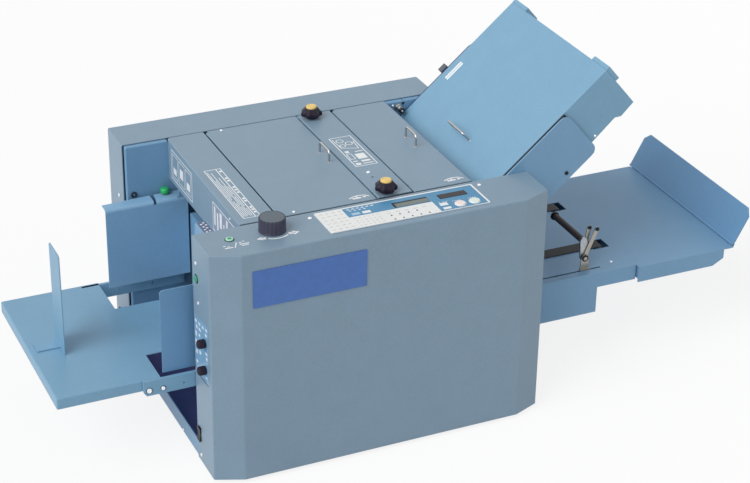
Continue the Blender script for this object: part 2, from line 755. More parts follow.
def make_side_frames():
    shafts = [circle(centre, SHAFT_R + SEAT) for centre in roller_centres()]
    shafts.append(circle((SUCTION_ROLLER_X, SUCTION_Z), SHAFT_R + SEAT))
    shafts.append(circle(drum_centre(), SHAFT_R + SEAT))
    shafts.append(circle((GUIDE_SHAFT_X, GUIDE_SHAFT_Z), GUIDE_SHAFT_R + SEAT))
    front = prism("front_side_frame", frame_outline(), "Y", FRONT_FRAME_Y - FRAME_SHEET, FRONT_FRAME_Y,
                  MID_BLUE, holes=shafts)
    lap = FRONT_FRAME_Y - FRAME_SHEET / 2
    reach = FRONT_FRAME_Y + SHELF_REACH
    shelf = box("frame_shelf", (SHELF_LEFT, lap, FRAME_TOP - SHEET), (SHELF_RIGHT, reach, FRAME_TOP))
    shelf_end = box("frame_shelf_end", (SHELF_LEFT, lap, FRAME_TOP - SHELF_DROP),
                    (SHELF_LEFT + SHEET, reach, FRAME_TOP))
    join(front, shelf, shelf_end)
    rear = prism("rear_side_frame", frame_outline(), "Y", REAR_FRAME_Y, REAR_FRAME_Y + FRAME_SHEET,
                 MID_BLUE, holes=shafts)
    notch_low = BODY_HEIGHT - 2 * HINGE_R - SEAT
    for side, left in (("left", HEAD_RIGHT), ("right", STRIP_RIGHT)):
        cut(rear, box(f"{side}_hinge_notch", (left, REAR_FRAME_Y - OVERRUN, notch_low),
                      (left + 2 * (HINGE_R + SEAT), REAR_START, BODY_HEIGHT)))


def make_front_cover():
    cover = prism("front_cover", cover_outline(0, FRONT_DEPTH), "Z", 0, BODY_HEIGHT, GREY_BLUE)
    inside = prism("front_cover_inside", cover_outline(SHEET, FRONT_DEPTH + OVERRUN), "Z",
                   -OVERRUN, BODY_HEIGHT - SHEET)
    cut(cover, inside)
    top = (BODY_HEIGHT - SHEET - OVERRUN, BODY_HEIGHT + OVERRUN)
    for name, x, y, radius in (("dial", DIAL_X, DIAL_Y, SHAFT_R), ("reset", RESET_X, RESET_Y, RESET_R),
                               ("start", START_X, KEY_Y, KEY_R), ("stop", STOP_X, KEY_Y, KEY_R)):
        cut(cover, rod(f"{name}_hole", radius + SEAT, (x, y, top[0]), (x, y, top[1])))
    side = (-OVERRUN, SHEET + OVERRUN)
    for name, (y, z), radius in (("air_upper", AIR_KNOB_UPPER_YZ, STUD_R),
                                 ("air_lower", AIR_KNOB_LOWER_YZ, STUD_R),
                                 ("table", (TABLE_BUTTON_Y, TABLE_BUTTON_Z), TABLE_BUTTON_R)):
        cut(cover, rod(f"{name}_hole", radius + SEAT, (side[0], y, z), (side[1], y, z)))
    half_width = SWITCH_WIDTH / 2 + SEAT
    half_height = SWITCH_HEIGHT / 2 + SWITCH_GAP
    cut(cover, box("switch_hole", (side[0], SWITCH_Y - half_width, SWITCH_Z - half_height),
                   (side[1], SWITCH_Y + half_width, SWITCH_Z + half_height)))


def make_rear_cover():
    cover = box("rear_cover", (0, REAR_START, 0), (BODY_LENGTH, BODY_DEPTH, BODY_HEIGHT), GREY_BLUE)
    cut(cover, box("rear_cover_inside", (SHEET, REAR_START - OVERRUN, -OVERRUN),
                   (BODY_LENGTH - SHEET, BODY_DEPTH - SHEET, BODY_HEIGHT - SHEET)))
    half_width = INLET_WIDTH / 2 + SEAT
    half_height = INLET_HEIGHT / 2 + SEAT
    cut(cover, box("inlet_hole", (-OVERRUN, INLET_Y - half_width, INLET_Z - half_height),
                   (SHEET + OVERRUN, INLET_Y + half_width, INLET_Z + half_height)))


def make_power_inlet():
    half_width = INLET_WIDTH / 2
    half_height = INLET_HEIGHT / 2
    inlet = box("power_inlet", (-SEAT - SHEET, INLET_Y - half_width - INLET_FLANGE,
                                INLET_Z - half_height - INLET_FLANGE),
                (-SEAT, INLET_Y + half_width + INLET_FLANGE, INLET_Z + half_height + INLET_FLANGE),
                DARK_PLASTIC)
    join(inlet, box("inlet_body", (-SEAT - SHEET / 2, INLET_Y - half_width, INLET_Z - half_height),
                    (INLET_DEPTH, INLET_Y + half_width, INLET_Z + half_height)))
    cut(inlet, box("inlet_socket", (-OVERRUN, INLET_Y - half_width + INLET_WALL,
                                    INLET_Z - half_height + INLET_WALL),
                   (INLET_DEPTH - INLET_WALL, INLET_Y + half_width - INLET_WALL,
                    INLET_Z + half_height - INLET_WALL)))


# Top covers

def make_head_cover():
    low = BODY_HEIGHT - HEAD_FACE
    right = HEAD_RIGHT - SEAT
    section = [(HEAD_LEFT, low), (HEAD_LEFT + SHEET, low), (HEAD_LEFT + SHEET, BODY_HEIGHT - SHEET),
               (right - SHEET, BODY_HEIGHT - SHEET), (right - SHEET, low), (right, low),
               (right, BODY_HEIGHT), (HEAD_LEFT, BODY_HEIGHT)]
    cover = prism("feed_head_cover", section, "Y", TOP_FRONT, INNER_REAR, GREY_BLUE)
    join(cover, box("head_top_sheet", (HEAD_LEFT, INNER_FRONT + SHEET, BODY_HEIGHT - SHEET),
                    (right, TOP_REAR, BODY_HEIGHT)))


def lid_section(left, right):
    """A lid seen from the front: its hinge barrel, its top and the fold at its free edge."""
    low = BODY_HEIGHT - LID_FLANGE
    centre = (left + SEAT + HINGE_R, BODY_HEIGHT - HINGE_R)
    barrel = arc(centre, HINGE_R, 90, 310, SMALL_SIDES // 2)
    edge = right - LID_GAP
    return [*barrel, (centre[0] + HINGE_R, BODY_HEIGHT - SHEET), (edge - SHEET, BODY_HEIGHT - SHEET),
            (edge - SHEET, low), (edge, low), (edge, BODY_HEIGHT)]


def make_lid(name, left, right):
    axis_x = left + SEAT + HINGE_R
    axis_z = BODY_HEIGHT - HINGE_R
    lid = prism(name, lid_section(left, right), "Y", TOP_FRONT, TOP_REAR, GREY_BLUE)
    cut(lid, box(f"{name}_rear_relief", (left, INNER_REAR, BODY_HEIGHT - LID_FLANGE - OVERRUN),
                 (right, TOP_REAR + OVERRUN, FRAME_TOP + SEAT / 2)))
    pivot(lid, (axis_x, TOP_FRONT, axis_z))


def make_strip():
    low = BODY_HEIGHT - LID_FLANGE
    left = LEFT_LID_RIGHT
    right = STRIP_RIGHT
    section = [(left, low), (left + SHEET, low), (left + SHEET, BODY_HEIGHT - SHEET),
               (right - SHEET, BODY_HEIGHT - SHEET), (right - SHEET, low), (right, low),
               (right, BODY_HEIGHT), (left, BODY_HEIGHT)]
    strip = prism("centre_strip", section, "Y", TOP_FRONT, INNER_REAR, GREY_BLUE)
    join(strip, box("strip_top_sheet", (left, INNER_FRONT + SHEET, BODY_HEIGHT - SHEET),
                    (right, TOP_REAR, BODY_HEIGHT)))
    for end, y in (("front", STAR_FRONT_Y), ("rear", STAR_REAR_Y)):
        cut(strip, rod(f"star_hole_{end}", STUD_R + SEAT, (STAR_X, y, low - OVERRUN),
                       (STAR_X, y, BODY_HEIGHT + OVERRUN)))


def handle_path(span):
    """Half a handle at a time: up, round the bend and across, about the handle's middle."""
    half = span / 2
    bend = arc((half - HANDLE_BEND_R, HANDLE_RISE - HANDLE_BEND_R), HANDLE_BEND_R, 0, 90, CORNER_STEPS)
    side = [(half, SEAT), *bend]
    return side + [(-across, up) for across, up in reversed(side)]


def make_handle(name, place, span, parent=None):
    """A wire handle along Y on a surface whose upward direction is the parent's Z."""
    points = [(place[0], place[1] + across, place[2] + up) for across, up in handle_path(span)]
    wire(name, points, HANDLE_WIRE_R, CHROME, parent)


# Knobs and buttons

def star_outline(centre):
    points = []
    count = STAR_LOBES * 5
    for index in range(count):
        angle = 2 * math.pi * index / count
        radius = STAR_R - STAR_WAVE * (1 - math.cos(STAR_LOBES * angle))
        points.append((centre[0] + radius * math.cos(angle), centre[1] + radius * math.sin(angle)))
    return points


def make_star_knob(name, y):
    x = STAR_X
    base = BODY_HEIGHT + SEAT
    body_low = base + STAR_NECK
    body_high = body_low + STAR_HEIGHT
    knob = prism(name, star_outline((x, y)), "Z", body_low, body_high, DARK_PLASTIC)
    neck = rod(f"{name}_neck", STAR_NECK_R, (x, y, base), (x, y, body_low + WORKING_GAP), sides=SMALL_SIDES)
    stud = rod(f"{name}_stud", STUD_R, (x, y, base - STUD_LENGTH), (x, y, body_low + WORKING_GAP),
               sides=SMALL_SIDES)
    cap = rod(f"{name}_cap", STAR_CAP_R, (x, y, body_high - WORKING_GAP), (x, y, body_high + STAR_CAP_HEIGHT),
              sides=SMALL_SIDES)
    join(knob, neck, stud, cap)
    pivot(knob, (x, y, base))


def make_dial():
    base = BODY_HEIGHT + SEAT
    points = []
    count = DIAL_FLUTES * 2
    for index in range(count):
        radius = DIAL_R - DIAL_FLUTE * (index % 2)
        angle = 2 * math.pi * index / count
        points.append((DIAL_X + radius * math.cos(angle), DIAL_Y + radius * math.sin(angle)))
    dial = prism("dial_knob", points, "Z", base + DIAL_SKIRT / 2, base + DIAL_HEIGHT, GREY_PLASTIC)
    skirt = rod("dial_skirt", DIAL_SKIRT_R, (DIAL_X, DIAL_Y, base), (DIAL_X, DIAL_Y, base + DIAL_SKIRT))
    shaft = rod("dial_shaft", SHAFT_R, (DIAL_X, DIAL_Y, base - STUD_LENGTH),
                (DIAL_X, DIAL_Y, base + DIAL_SKIRT / 2), sides=SMALL_SIDES)
    join(dial, skirt, shaft)
    pivot(dial, (DIAL_X, DIAL_Y, base))


def make_top_button(name, x, y, radius, surface, finish):
    top = surface + BUTTON_RISE
    button = rod(name, radius, (x, y, top - BUTTON_DEPTH - BUTTON_RISE), (x, y, top), finish)
    pivot(button, (x, y, top))


def make_buttons():
    panel_top = BODY_HEIGHT + SEAT + PANEL_SHEET
    make_top_button("reset_button", RESET_X, RESET_Y, RESET_R, BODY_HEIGHT, GREEN_PLASTIC)
    make_top_button("start_button", START_X, KEY_Y, KEY_R, panel_top, PALE_PLASTIC)
    make_top_button("stop_button", STOP_X, KEY_Y, KEY_R, panel_top, PALE_PLASTIC)
    place = (-BUTTON_RISE, TABLE_BUTTON_Y, TABLE_BUTTON_Z)
    button = rod("table_button", TABLE_BUTTON_R, place, (BUTTON_DEPTH, TABLE_BUTTON_Y, TABLE_BUTTON_Z),
                 GREEN_PLASTIC)
    pivot(button, place)


def make_air_knobs():
    for name, (y, z) in (("air_knob_upper", AIR_KNOB_UPPER_YZ), ("air_knob_lower", AIR_KNOB_LOWER_YZ)):
        knob = rod(name, AIR_KNOB_R, (-SEAT - AIR_KNOB_LENGTH, y, z), (-SEAT, y, z), DARK_PLASTIC)
        join(knob, rod(f"{name}_shaft", STUD_R, (-SEAT - WORKING_GAP, y, z), (STUD_LENGTH, y, z),
                       sides=SMALL_SIDES))
        pivot(knob, (-SEAT, y, z))


def make_power_switch():
    half_width = SWITCH_WIDTH / 2
    half_height = SWITCH_HEIGHT / 2
    outer = -SWITCH_RISE
    section = [(outer, SWITCH_Z - half_height), (outer + SWITCH_THICKNESS, SWITCH_Z - half_height / 2),
               (outer + SWITCH_THICKNESS, SWITCH_Z + half_height / 2), (outer, SWITCH_Z + half_height)]
    rocker = prism("power_switch", section, "Y", SWITCH_Y - half_width, SWITCH_Y + half_width, DARK_PLASTIC)
    pivot(rocker, (outer + SWITCH_THICKNESS / 2, SWITCH_Y, SWITCH_Z))


def make_panel():
    low = BODY_HEIGHT + SEAT
    keys = [circle((x, KEY_Y), KEY_R + SEAT, ROUND_SIDES) for x in (START_X, STOP_X)]
    prism("control_panel", rectangle((PANEL_LEFT, PANEL_FRONT), (PANEL_RIGHT, PANEL_REAR)), "Z",
          low, low + PANEL_SHEET, PANEL_BLUE, holes=keys)
    box("badge_plate", (BADGE_LEFT, -SEAT - BADGE_SHEET, BADGE_LOW), (BADGE_RIGHT, -SEAT, BADGE_HIGH),
        BADGE_BLUE)


# Feed table, guides and suction head

def make_feed_table():
    top = TABLE_TOP
    under = top - SHEET
    low = top - TABLE_SKIRT
    plan = [(TABLE_LEFT, TABLE_FRONT), (TABLE_SHOULDER, TABLE_FRONT), (TABLE_SHOULDER, TONGUE_FRONT),
            (TONGUE_END, TONGUE_FRONT), (TONGUE_END, TONGUE_REAR), (TABLE_SHOULDER, TONGUE_REAR),
            (TABLE_SHOULDER, TABLE_REAR), (TABLE_LEFT, TABLE_REAR)]
    table = prism("feed_table", plan, "Z", under, top, PALE_BLUE)
    front = box("table_front_skirt", (TABLE_LEFT, TABLE_FRONT, low),
                (TABLE_SHOULDER, TABLE_FRONT + SHEET, top))
    rear = box("table_rear_skirt", (TABLE_LEFT, TABLE_REAR - SHEET, low), (TABLE_SHOULDER, TABLE_REAR, top))
    left = box("table_left_skirt", (TABLE_LEFT, TABLE_FRONT, low), (TABLE_LEFT + SHEET, TABLE_REAR, top))
    arm_low = top - ARM_HEIGHT
    front_arm = box("front_arm", (ARM_LEFT, TABLE_FRONT - ARM_WIDTH, arm_low),
                    (ARM_END, TABLE_FRONT + WORKING_GAP, top))
    front_shoe = box("front_shoe", (ARM_END - SHOE_LENGTH, INNER_FRONT, arm_low),
                     (ARM_END, TABLE_FRONT - ARM_WIDTH + WORKING_GAP, top))
    rear_arm_y = INNER_REAR - ARM_LAP
    rear_arm = box("rear_arm", (ARM_LEFT, rear_arm_y - ARM_WIDTH, arm_low),
                   (ARM_END, rear_arm_y, top))
    rear_shoe = box("rear_shoe", (ARM_END - SHOE_LENGTH, rear_arm_y - WORKING_GAP, arm_low),
                    (ARM_END, INNER_REAR, top))
    join(table, front, rear, left, front_arm, front_shoe, rear_arm, rear_shoe)
    pivot(table, (TABLE_LEFT, INNER_MIDDLE, TABLE_TOP))


def make_end_stop():
    low = TABLE_TOP + SEAT
    section = [(STOP_X_FACE - STOP_FOOT, low), (STOP_X_FACE, low), (STOP_X_FACE, low + STOP_HEIGHT),
               (STOP_X_FACE - SHEET, low + STOP_HEIGHT), (STOP_X_FACE - SHEET, low + SHEET),
               (STOP_X_FACE - STOP_FOOT, low + SHEET)]
    stop = prism("end_stop", section, "Y", STOP_FRONT, STOP_REAR, PALE_BLUE)
    cut(stop, box("foot_relief", (STOP_X_FACE - STOP_FOOT - OVERRUN, STOP_FRONT - OVERRUN, low - OVERRUN),
                  (STOP_X_FACE - SHEET, STOP_REAR - STOP_FOOT_WIDTH, low + SHEET + OVERRUN)))
    pivot(stop, (STOP_X_FACE, INNER_MIDDLE, low))


def guide_outline(left, corner_r):
    """A side guide seen from the front, with the ear that rides on the guide shaft."""
    right = GUIDE_SHAFT_X + GUIDE_EAR_R
    ear = arc((GUIDE_SHAFT_X, GUIDE_SHAFT_Z), GUIDE_EAR_R, 0, 180, CORNER_STEPS * 2)
    corners = [(left, GUIDE_LOW), (right, GUIDE_LOW), *ear, (GUIDE_SHAFT_X - GUIDE_EAR_R, GUIDE_HIGH),
               (left, GUIDE_HIGH)]
    return rounded(corners, (*[0] * (len(corners) - 1), corner_r))


def make_side_guides():
    shaft = [circle((GUIDE_SHAFT_X, GUIDE_SHAFT_Z), GUIDE_SHAFT_R + SEAT)]
    front = prism("side_guide_front", guide_outline(FRONT_GUIDE_LEFT, GUIDE_CORNER_R), "Y", FRONT_GUIDE_Y,
                  FRONT_GUIDE_Y + SHEET, MID_BLUE, holes=shaft)
    pivot(front, (GUIDE_SHAFT_X, FRONT_GUIDE_Y, GUIDE_SHAFT_Z))
    rear = prism("side_guide_rear", guide_outline(REAR_GUIDE_LEFT, 0), "Y", REAR_GUIDE_Y,
                 REAR_GUIDE_Y + SHEET, MID_BLUE, holes=shaft)
    lip_low = GUIDE_HIGH - SHEET
    lip_rear = REAR_GUIDE_Y + GUIDE_LIP
    left_lip = box("guide_left_lip", (REAR_GUIDE_LEFT, REAR_GUIDE_Y, lip_low),
                   (GUIDE_NOTCH_LEFT, lip_rear, GUIDE_HIGH))
    right_lip = box("guide_right_lip", (GUIDE_NOTCH_RIGHT, REAR_GUIDE_Y, lip_low),
                    (GUIDE_SHAFT_X + GUIDE_EAR_R, lip_rear, GUIDE_HIGH))
    join(rear, left_lip, right_lip)
    lock_y = REAR_GUIDE_Y + LOCK_BUTTON_INSET
    cut(rear, rod("lock_hole", LOCK_STEM_R + SEAT, (LOCK_BUTTON_X, lock_y, lip_low - OVERRUN),
                  (LOCK_BUTTON_X, lock_y, GUIDE_HIGH + OVERRUN), sides=SMALL_SIDES))
    pivot(rear, (GUIDE_SHAFT_X, REAR_GUIDE_Y, GUIDE_SHAFT_Z))
    cap_low = GUIDE_HIGH + LOCK_TRAVEL + SEAT
    button = rod("guide_button", LOCK_BUTTON_R, (LOCK_BUTTON_X, lock_y, cap_low),
                 (LOCK_BUTTON_X, lock_y, cap_low + LOCK_BUTTON_CAP), GREEN_PLASTIC)
    join(button, rod("lock_stem", LOCK_STEM_R, (LOCK_BUTTON_X, lock_y, cap_low - LOCK_STEM_LENGTH),
                     (LOCK_BUTTON_X, lock_y, cap_low + WORKING_GAP), sides=SMALL_SIDES))
    pivot(button, (LOCK_BUTTON_X, lock_y, cap_low))
    rod("guide_shaft", GUIDE_SHAFT_R, (GUIDE_SHAFT_X, FRONT_FRAME_Y - FRAME_SHEET, GUIDE_SHAFT_Z),
        (GUIDE_SHAFT_X, REAR_FRAME_Y + FRAME_SHEET, GUIDE_SHAFT_Z), BARE_STEEL, sides=SMALL_SIDES)


def make_feed_guide():
    low = PAN_TOP + SEAT
    top = SUCTION_Z - SUCTION_R - SEAT - SUCTION_BELT - GUIDE_DROP
    end_x = FIRST_ROLLER_X - ROLLER_R - GUIDE_END_GAP
    bend_x = end_x - GUIDE_RAMP
    end_z = top + GUIDE_LIFT
    section = [(WALL_X, low), (WALL_X + WALL_FOOT, low), (WALL_X + WALL_FOOT, low + SHEET),
               (WALL_X + SHEET, low + SHEET), (WALL_X + SHEET, top - SHEET), (bend_x, top - SHEET),
               (end_x, end_z - SHEET), (end_x, end_z), (bend_x, top), (WALL_X, top)]
    prism("feed_guide_plate", section, "Y", INNER_FRONT + WALL_MARGIN, INNER_REAR - WALL_MARGIN, MID_BLUE)


def make_suction_head():
    reach = SUCTION_R
    nose = arc((SUCTION_X, SUCTION_Z), reach, 90, 270, SMALL_SIDES // 2)
    outline = [*nose, (CHAMBER_RIGHT, SUCTION_Z - reach), (CHAMBER_RIGHT, SUCTION_Z + reach)]
    prism("suction_chamber", outline, "Y", INNER_FRONT, INNER_REAR, BARE_STEEL)
    face = SUCTION_R + SEAT
    back = face + SUCTION_BELT
    prism("suction_belt", belt_loop(SUCTION_X, SUCTION_ROLLER_X, SUCTION_Z, back), "Y",
          SUCTION_BELT_FRONT, SUCTION_BELT_REAR, BELT_RUBBER,
          holes=[belt_loop(SUCTION_X, SUCTION_ROLLER_X, SUCTION_Z, face)])
    place = (SUCTION_ROLLER_X, INNER_FRONT, SUCTION_Z)
    roller = rod("suction_roller", SUCTION_R, (SUCTION_ROLLER_X, INNER_FRONT + ROLLER_CLEAR, SUCTION_Z),
                 (SUCTION_ROLLER_X, INNER_REAR - ROLLER_CLEAR, SUCTION_Z), ROLLER_RUBBER)
    join(roller, rod("suction_shaft", SHAFT_R,
                     (SUCTION_ROLLER_X, FRONT_FRAME_Y - FRAME_SHEET, SUCTION_Z),
                     (SUCTION_ROLLER_X, REAR_FRAME_Y + FRAME_SHEET, SUCTION_Z), sides=SMALL_SIDES))
    pivot(roller, place)


def make_blower():
    centre = (BLOWER_X, BLOWER_Z)
    base = PAN_TOP + SEAT
    scroll = arc(centre, BLOWER_R, 150, 400, ROUND_SIDES)
    snail = [*scroll, (DUCT_RIGHT, BLOWER_Z + BLOWER_R), (DUCT_LEFT, BLOWER_Z + BLOWER_R)]
    blower = prism("blower_housing", snail, "Y", BLOWER_FRONT, BLOWER_REAR, GREY_PLASTIC)
    duct = box("blower_duct", (DUCT_LEFT, DUCT_FRONT, BLOWER_Z),
               (DUCT_RIGHT, INNER_REAR, SUCTION_Z - SUCTION_R - SEAT))
    foot = box("blower_foot", (DUCT_LEFT, BLOWER_FRONT, base),
               (BLOWER_X + BLOWER_R, BLOWER_REAR, BLOWER_Z - BLOWER_R / 2))
    join(blower, duct, foot)


# Fold rollers, buckle plates and drive

def gear_outline(centre, phase_deg):
    """A spur gear whose pitch circle is the roller's own surface plus half the gap."""
    pitch_radius = ROLLER_R + ROLLER_GAP / 2
    root = pitch_radius - TOOTH_DEDENDUM
    tip = pitch_radius + TOOTH_ADDENDUM
    pitch_deg = 360 / GEAR_TEETH
    points = []
    for tooth in range(GEAR_TEETH):
        for radius, share in ((root, -TOOTH_ROOT_SHARE), (tip, -TOOTH_TIP_SHARE),
                              (tip, TOOTH_TIP_SHARE), (root, TOOTH_ROOT_SHARE)):
            angle = math.radians(phase_deg + pitch_deg * (tooth + share / 2))
            points.append((centre[0] + radius * math.cos(angle), centre[1] + radius * math.sin(angle)))
    return points


def gear_phases():
    """Each gear's first tooth, turned so that it stands in a gap of the gear before."""
    pitch_deg = 360 / GEAR_TEETH
    phases = [0.0]
    for angle_deg in ROLLER_STEPS_DEG:
        phases.append((2 * angle_deg + 180 - phases[-1] + pitch_deg / 2) % pitch_deg)
    return phases


def make_fold_rollers():
    for index, (centre, phase_deg) in enumerate(zip(roller_centres(), gear_phases()), start=1):
        x, z = centre
        name = f"fold_roller_{index}"
        roller = rod(name, ROLLER_R, (x, INNER_FRONT + ROLLER_CLEAR, z), (x, INNER_REAR - ROLLER_CLEAR, z),
                     ROLLER_RUBBER if index % 2 else BARE_STEEL)
        gear = prism(f"{name}_gear", gear_outline(centre, phase_deg), "Y", GEAR_FRONT, GEAR_FRONT + GEAR_WIDTH)
        shaft = rod(f"{name}_shaft", SHAFT_R, (x, FRONT_FRAME_Y - FRAME_SHEET, z),
                    (x, GEAR_FRONT + GEAR_WIDTH / 2, z), sides=SMALL_SIDES)
        join(roller, gear, shaft)
        pivot(roller, (x, INNER_FRONT, z))


def make_lower_plate():
    axis = empty("lower_plate_axis", (LOWER_MOUTH_X, 0, LOWER_MOUTH_Z), (0, -LOWER_SLOPE, 0), MACHINE)
    half = LOWER_THICKNESS / 2
    plate = box("lower_fold_plate", (-LOWER_LENGTH, INNER_FRONT, -half), (0, INNER_REAR, half),
                MID_BLUE, axis)
    cut(plate, box("lower_slot", (-LOWER_LENGTH + LOWER_RIM, INNER_FRONT + LOWER_RIM, -half + SHEET),
                   (OVERRUN, INNER_REAR - LOWER_RIM, half - SHEET), parent=axis))


def make_motor():
    motor = rod("drive_motor", MOTOR_R, (MOTOR_X, MOTOR_FRONT, MOTOR_Z), (MOTOR_X, MOTOR_REAR, MOTOR_Z),
                GREY_PLASTIC)
    half = MOTOR_FOOT / 2
    foot = box("motor_foot", (MOTOR_X - half, MOTOR_FRONT + ROLLER_R, PAN_TOP + SEAT),
               (MOTOR_X + half, MOTOR_REAR - ROLLER_R, MOTOR_Z - MOTOR_R / 2))
    boss = rod("motor_boss", MOTOR_BOSS_R, (MOTOR_X, MOTOR_REAR - WORKING_GAP, MOTOR_Z),
               (MOTOR_X, MOTOR_REAR + MOTOR_BOSS, MOTOR_Z))
    join(motor, foot, boss)


PLATE_FRONT = INNER_FRONT + BRACKET_SHEET + PLATE_SIDE_GAP
PLATE_REAR = INNER_REAR - BRACKET_SHEET - SEAT


def plate_side_outline():
    """The upper plate's side wall: X runs down the slope as minus, Z is minus the depth."""
    shallow = PLATE_SLOT + 2 * SHEET
    return [(0, 0), (-PLATE_LENGTH, 0), (-PLATE_LENGTH, -shallow), (-PLATE_SHALLOW, -shallow),
            (-PLATE_DEEP_END, -PLATE_DEPTH), (-PLATE_SECOND_STEP, -PLATE_DEPTH + PLATE_NOTCH),
            (-PLATE_FIRST_STEP, -PLATE_DEPTH - PLATE_NOTCH / 2), (0, -PLATE_DEPTH)]


def make_upper_plate():
    axis = empty("upper_plate_axis", (PLATE_TOP_X, 0, PLATE_TOP_Z), (0, -PLATE_SLOPE, 0), MACHINE)
    plate = box("upper_fold_plate", (-PLATE_LENGTH, PLATE_FRONT, -SHEET), (0, PLATE_REAR, 0),
                PALE_BLUE, axis)
    guide_top = -SHEET - PLATE_SLOT
    guide = box("plate_guide", (-PLATE_LENGTH, PLATE_FRONT, guide_top - SHEET), (0, PLATE_REAR, guide_top),
                parent=axis)
    front = prism("plate_front_wall", plate_side_outline(), "Y", PLATE_FRONT, PLATE_FRONT + SHEET, parent=axis)
    rear = prism("plate_rear_wall", plate_side_outline(), "Y", PLATE_REAR - SHEET, PLATE_REAR, parent=axis)
    front_tab = box("plate_front_tab", (-WORKING_GAP, PLATE_FRONT, -TAB_DEPTH),
                    (TAB_LENGTH, PLATE_FRONT + TAB_WIDTH, 0), parent=axis)
    rear_tab = box("plate_rear_tab", (-WORKING_GAP, PLATE_REAR - TAB_WIDTH, -TAB_DEPTH),
                   (TAB_LENGTH, PLATE_REAR, 0), parent=axis)
    join(plate, guide, front, rear, front_tab, rear_tab)
    make_handle("fold_plate_handle", (-PLATE_HANDLE_DOWN, PLATE_HANDLE_Y, 0), PLATE_HANDLE_SPAN, axis)
    stopper = box("fold_stopper", (-STOPPER_DOWN - STOPPER_LENGTH, PLATE_FRONT + STOPPER_MARGIN,
                                   guide_top + SEAT),
                  (-STOPPER_DOWN, PLATE_REAR - STOPPER_MARGIN, -SHEET - SEAT), BARE_STEEL, axis)
    pivot(stopper, (-STOPPER_DOWN, INNER_MIDDLE, guide_top + SEAT))


def bracket_outline():
    """A bracket seen from the front: a broad arm up the slope, rounded at its end."""
    along = Vector((math.cos(PLATE_SLOPE), math.sin(PLATE_SLOPE)))
    across = Vector((math.sin(PLATE_SLOPE), -math.cos(PLATE_SLOPE)))
    upper = Vector((BRACKET_EDGE_X, BRACKET_EDGE_Z))
    lower = upper + across * BRACKET_WIDTH
    run = (upper.x - BRACKET_LEFT) / along.x
    fall = (lower.x - BRACKET_FOOT) / along.x
    left = upper - along * run
    foot = lower - along * fall
    corners = [(left.x, BRACKET_LOW), (foot.x, BRACKET_LOW), tuple(foot), tuple(lower), tuple(upper),
               tuple(left)]
    return rounded(corners, (0, 0, 0, BRACKET_R, BRACKET_R, 0))


def make_brackets():
    prism("bracket_front", bracket_outline(), "Y", INNER_FRONT, INNER_FRONT + BRACKET_SHEET, MID_BLUE)
    skew_hole = circle((SKEW_X, SKEW_Z), STUD_R + SEAT)
    prism("bracket_rear", bracket_outline(), "Y", INNER_REAR - BRACKET_SHEET, INNER_REAR, MID_BLUE,
          holes=[skew_hole])
    half_diagonal = SKEW_SIZE / math.sqrt(2)
    low = INNER_REAR + SEAT
    corners = [(SKEW_X + half_diagonal * math.cos(angle), SKEW_Z + half_diagonal * math.sin(angle))
               for angle in (PLATE_SLOPE + math.pi / 4 + quarter * math.pi / 2 for quarter in range(4))]
    knob = prism("skew_knob", corners, "Y", low, low + SKEW_LENGTH, GREY_PLASTIC)
    join(knob, rod("skew_stud", STUD_R, (SKEW_X, INNER_REAR - BRACKET_SHEET, SKEW_Z),
                   (SKEW_X, low + WORKING_GAP, SKEW_Z), sides=SMALL_SIDES))
    pivot(knob, (SKEW_X, low, SKEW_Z))


# Delivery

def web_outline():
    under = DECK_TOP - SHEET
    return [(WEB_LEFT, WEB_LOW), (WEB_RIGHT, WEB_LOW), (WEB_RIGHT, DECK_TOP - RAIL_HEIGHT),
            (DECK_RIGHT, DECK_TOP - RAIL_HEIGHT), (DECK_RIGHT, DECK_TOP), (CHUTE_LOW_X, DECK_TOP),
            (CHUTE_HIGH_X, CHUTE_HIGH_Z), (CHUTE_HIGH_X, CHUTE_HIGH_Z - CHUTE_BACK), (WEB_LEFT, under)]


